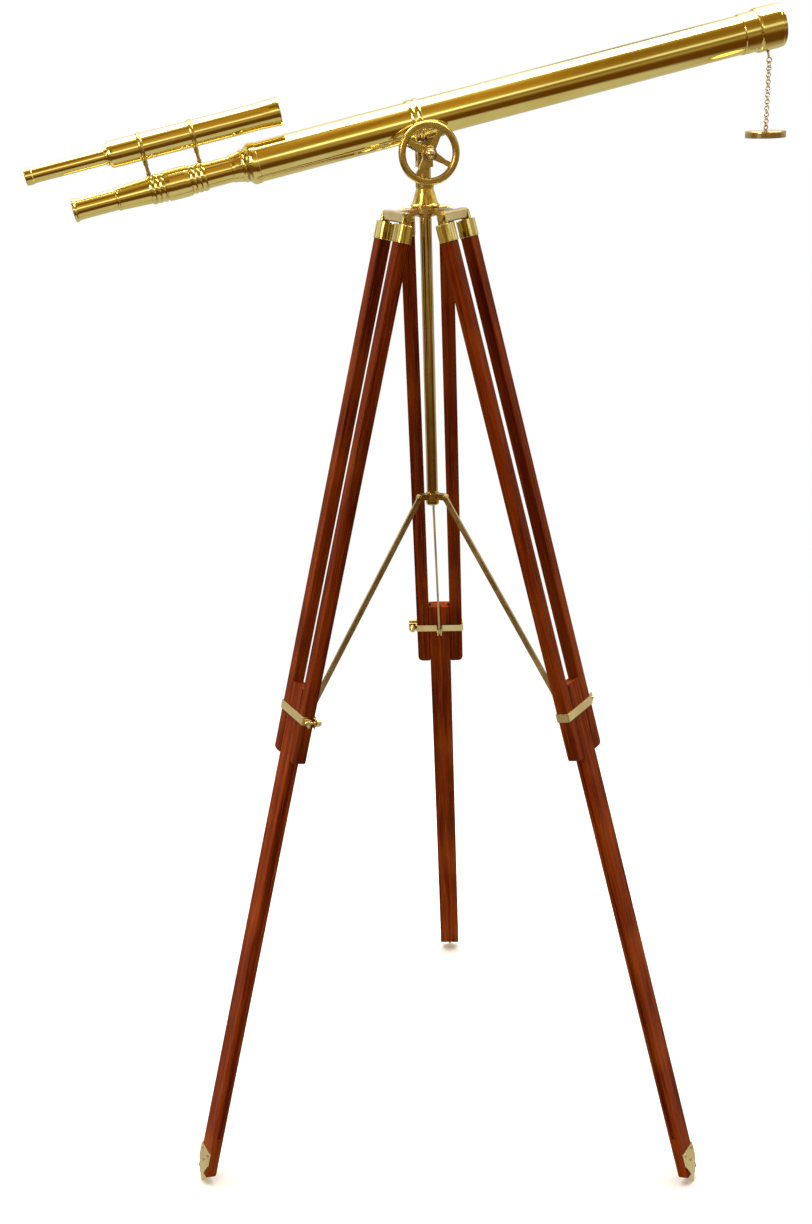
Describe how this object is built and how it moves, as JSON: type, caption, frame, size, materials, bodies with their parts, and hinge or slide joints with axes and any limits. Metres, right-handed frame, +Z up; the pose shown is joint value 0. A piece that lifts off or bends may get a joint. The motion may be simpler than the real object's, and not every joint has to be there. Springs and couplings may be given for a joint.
{
  "type": "telescope on tripod",
  "caption": "Brass refracting telescope with a finder scope and draw tubes, on a yoke with a hand wheel and a folding wooden tripod.",
  "frame": {"origin": "on the floor, on the vertical axis of the tripod head and its central tube", "axes": "+Z up, +X the way the objective points, -Y the side of the hand wheel"},
  "size_m": [1.0115, 0.7249, 1.6502],
  "materials": {
    "polished_brass": "polished, lacquered",
    "cast_brass": "satin casting",
    "satin_brass": "brushed",
    "rosewood": "high gloss varnish",
    "optical_glass": "polished, coated"
  },
  "bodies": {
    "tripod_head": {"head_spider": "cast_brass", "head_cone": "polished_brass", "center_tube": "polished_brass", "tube_end_nut": "polished_brass", "t_bar_screws": "cast_brass"},
    "spreader": {"spreader_hub": "cast_brass", "hub_pins": "cast_brass"},
    "lock_ring": {"swivel_lock_ring": "cast_brass"},
    "swivel": {"yoke": "cast_brass"},
    "wheel": {"hand_wheel": "cast_brass", "altitude_bolt": "cast_brass", "acorn_nut": "polished_brass"},
    "telescope": {"saddle": "cast_brass", "saddle_screws": "cast_brass", "barrel_band": "polished_brass", "main_barrel": "polished_brass", "objective_cell": "polished_brass", "objective_lens": "optical_glass", "lens_retainer": "polished_brass", "barrel_reducer": "polished_brass", "tail_tube": "polished_brass", "focuser_housing": "polished_brass", "eyepiece_nose": "polished_brass", "finder_posts": "cast_brass", "finder_tube": "polished_brass", "finder_cell": "polished_brass", "finder_objective": "optical_glass", "cap_eyelet": "cast_brass"},
    "eyepiece_draw": {"draw_tube": "polished_brass", "eyepiece_flange": "polished_brass", "eye_lenses": "optical_glass"},
    "finder_draw": {"finder_draw_tube": "polished_brass", "finder_eye_lens": "optical_glass"},
    "chain": {"cap_chain": "cast_brass"},
    "cap": {"lens_cap": "polished_brass"},
    "upper_leg_rear": {"rails_rear": "rosewood", "ferrules_rear": "polished_brass", "clamp_rear": "satin_brass"},
    "lower_leg_rear": {"lower_leg_rear": "rosewood", "foot_shoe_rear": "satin_brass", "foot_screws_rear": "satin_brass"},
    "clamp_screw_rear": {"thumbscrew_rear": "satin_brass"},
    "brace_rear": {"brace_rear": "satin_brass"},
    "upper_leg_left": {"rails_left": "rosewood", "ferrules_left": "polished_brass", "clamp_left": "satin_brass"},
    "lower_leg_left": {"lower_leg_left": "rosewood", "foot_shoe_left": "satin_brass", "foot_screws_left": "satin_brass"},
    "clamp_screw_left": {"thumbscrew_left": "satin_brass"},
    "brace_left": {"brace_left": "satin_brass"},
    "upper_leg_right": {"rails_right": "rosewood", "ferrules_right": "polished_brass", "clamp_right": "satin_brass"},
    "lower_leg_right": {"lower_leg_right": "rosewood", "foot_shoe_right": "satin_brass", "foot_screws_right": "satin_brass"},
    "clamp_screw_right": {"thumbscrew_right": "satin_brass"},
    "brace_right": {"brace_right": "satin_brass"}
  },
  "joints": [
    {"name": "azimuth", "type": "hinge", "parent": "tripod_head", "child": "swivel", "pos_m": [0, 0, 1.4405], "axis": [0, 0, 1], "continuous": true},
    {"name": "azimuth_lock", "type": "hinge", "parent": "tripod_head", "child": "lock_ring", "pos_m": [0, 0, 1.4405], "axis": [0, 0, 1], "range_deg": [-90, 90]},
    {"name": "altitude", "type": "hinge", "parent": "swivel", "child": "telescope", "pos_m": [0, 0, 1.4815], "axis": [0, -1, 0], "range_deg": [-32, 47]},
    {"name": "altitude_clamp", "type": "hinge", "parent": "swivel", "child": "wheel", "pos_m": [0, 0, 1.4815], "axis": [0, -1, 0], "range_deg": [-180, 180]},
    {"name": "focus", "type": "slide", "parent": "telescope", "child": "eyepiece_draw", "axis": [-0.9792, 0, -0.2028], "range_m": [-0.046, 0.05]},
    {"name": "finder_focus", "type": "slide", "parent": "telescope", "child": "finder_draw", "axis": [-0.9792, 0, -0.2028], "range_m": [-0.085, 0.02]},
    {"name": "chain_hang", "type": "hinge", "parent": "telescope", "child": "chain", "pos_m": [0.47305, 0, 1.57906], "axis": [0, -1, 0], "range_deg": [-50, 35]},
    {"name": "cap_swing", "type": "hinge", "parent": "chain", "child": "cap", "pos_m": [0.47305, 0, 1.49361], "axis": [0, -1, 0], "range_deg": [-30, 30]},
    {"name": "spreader_slide", "type": "slide", "parent": "tripod_head", "child": "spreader", "axis": [0, 0, 1], "range_m": [0, 0.03652]},
    {"name": "leg_fold_rear", "type": "hinge", "parent": "tripod_head", "child": "upper_leg_rear", "pos_m": [0.00967, 0.0419, 1.40253], "axis": [-0.9744, 0.225, 0], "range_deg": [0, 15.2]},
    {"name": "leg_length_rear", "type": "slide", "parent": "upper_leg_rear", "child": "lower_leg_rear", "axis": [-0.059, -0.2555, 0.965], "range_m": [0, 0.55], "stiffness_N_per_m": 20000},
    {"name": "leg_clamp_rear", "type": "hinge", "parent": "upper_leg_rear", "child": "clamp_screw_rear", "pos_m": [0.00816, 0.22872, 0.73377], "axis": [-0.2171, -0.9403, -0.2622], "range_deg": [-180, 180]},
    {"name": "brace_swing_rear", "type": "hinge", "parent": "spreader", "child": "brace_rear", "pos_m": [0.0045, 0.01949, 1.016], "axis": [-0.9744, 0.225, 0], "range_deg": [0, 32.53]},
    {"name": "leg_fold_left", "type": "hinge", "parent": "tripod_head", "child": "upper_leg_left", "pos_m": [-0.04112, -0.01257, 1.40253], "axis": [0.2924, -0.9563, 0], "range_deg": [0, 15.2]},
    {"name": "leg_length_left", "type": "slide", "parent": "upper_leg_left", "child": "lower_leg_left", "axis": [0.2507, 0.0767, 0.965], "range_m": [0, 0.55], "stiffness_N_per_m": 20000},
    {"name": "leg_clamp_left", "type": "hinge", "parent": "upper_leg_left", "child": "clamp_screw_left", "pos_m": [-0.20216, -0.10729, 0.73377], "axis": [0.9228, 0.2821, -0.2622], "range_deg": [-180, 180]},
    {"name": "brace_swing_left", "type": "hinge", "parent": "spreader", "child": "brace_left", "pos_m": [-0.01913, -0.00585, 1.016], "axis": [0.2924, -0.9563, 0], "range_deg": [0, 32.53]},
    {"name": "leg_fold_right", "type": "hinge", "parent": "tripod_head", "child": "upper_leg_right", "pos_m": [0.03145, -0.02933, 1.40253], "axis": [0.682, 0.7314, 0], "range_deg": [0, 15.2]},
    {"name": "leg_length_right", "type": "slide", "parent": "upper_leg_right", "child": "lower_leg_right", "axis": [-0.1918, 0.1788, 0.965], "range_m": [0, 0.55], "stiffness_N_per_m": 20000},
    {"name": "leg_clamp_right", "type": "hinge", "parent": "upper_leg_right", "child": "clamp_screw_right", "pos_m": [0.194, -0.12143, 0.73377], "axis": [-0.7058, 0.6581, -0.2622], "range_deg": [-180, 180]},
    {"name": "brace_swing_right", "type": "hinge", "parent": "spreader", "child": "brace_right", "pos_m": [0.01463, -0.01364, 1.016], "axis": [0.682, 0.7314, 0], "range_deg": [0, 32.53]}
  ],
  "couplings": [
    {"joint": "chain_hang", "follows": "altitude", "ratio": -1},
    {"joint": "spreader_slide", "follows": "leg_fold_rear", "m_per_rad": 0.1369},
    {"joint": "brace_swing_rear", "follows": "leg_fold_rear", "ratio": 2.1333},
    {"joint": "brace_swing_left", "follows": "leg_fold_rear", "ratio": 2.1333},
    {"joint": "leg_fold_left", "follows": "leg_fold_rear", "ratio": 1},
    {"joint": "brace_swing_right", "follows": "leg_fold_rear", "ratio": 2.1333},
    {"joint": "leg_fold_right", "follows": "leg_fold_rear", "ratio": 1}
  ]
}
